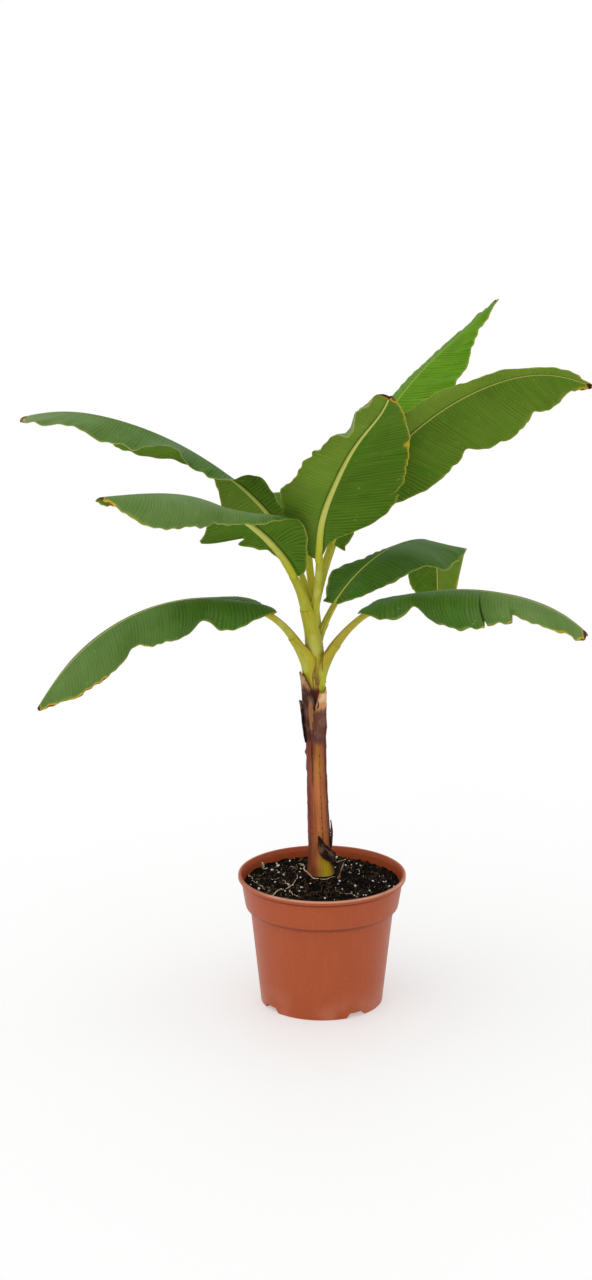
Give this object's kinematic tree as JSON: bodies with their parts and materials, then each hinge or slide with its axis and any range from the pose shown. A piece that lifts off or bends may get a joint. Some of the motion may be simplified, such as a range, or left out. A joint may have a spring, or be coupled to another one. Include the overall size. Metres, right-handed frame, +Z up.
{
  "type": "potted banana plant",
  "caption": "Young banana plant with a sheathed stem and broad arching leaves, standing in a tapered round nursery pot filled with dark soil.",
  "frame": {"origin": "centre of the pot's flat underside, on the floor", "axes": "+Z up along the pot's axis, +X to the viewer's right and -Y towards the viewer of the picture"},
  "size_m": [0.7653, 0.6191, 0.9941],
  "materials": {
    "pot_plastic": "matt terracotta-coloured moulded plastic",
    "soil": "damp dark peat with pale grains",
    "stem": "satin, brown sheaths below and yellow-green above",
    "dry_sheath": "dry papery brown",
    "petiole": "satin yellow-green",
    "leaf": "satin dark green, paler below",
    "young_leaf": "satin bright green"
  },
  "bodies": {
    "root": {"pot": "pot_plastic", "soil": "soil", "pseudostem": "stem", "dry_sheath_left": "dry_sheath", "dry_sheath_curl": "dry_sheath", "dry_sheath_right": "dry_sheath", "dry_sheath_foot": "dry_sheath", "petiole_lower_left": "petiole", "petiole_lower_right": "petiole", "petiole_middle_left": "petiole", "petiole_upper_left": "petiole", "petiole_front": "petiole", "petiole_right_upper": "petiole", "petiole_back_right": "petiole", "petiole_middle_right": "petiole", "petiole_back": "petiole", "leaf_lower_left": "leaf", "leaf_lower_right": "leaf", "leaf_middle_left": "leaf", "leaf_upper_left": "leaf", "leaf_front": "leaf", "leaf_right_upper": "leaf", "leaf_back_right": "young_leaf", "leaf_middle_right": "leaf", "leaf_back": "leaf"}
  },
  "joints": []
}
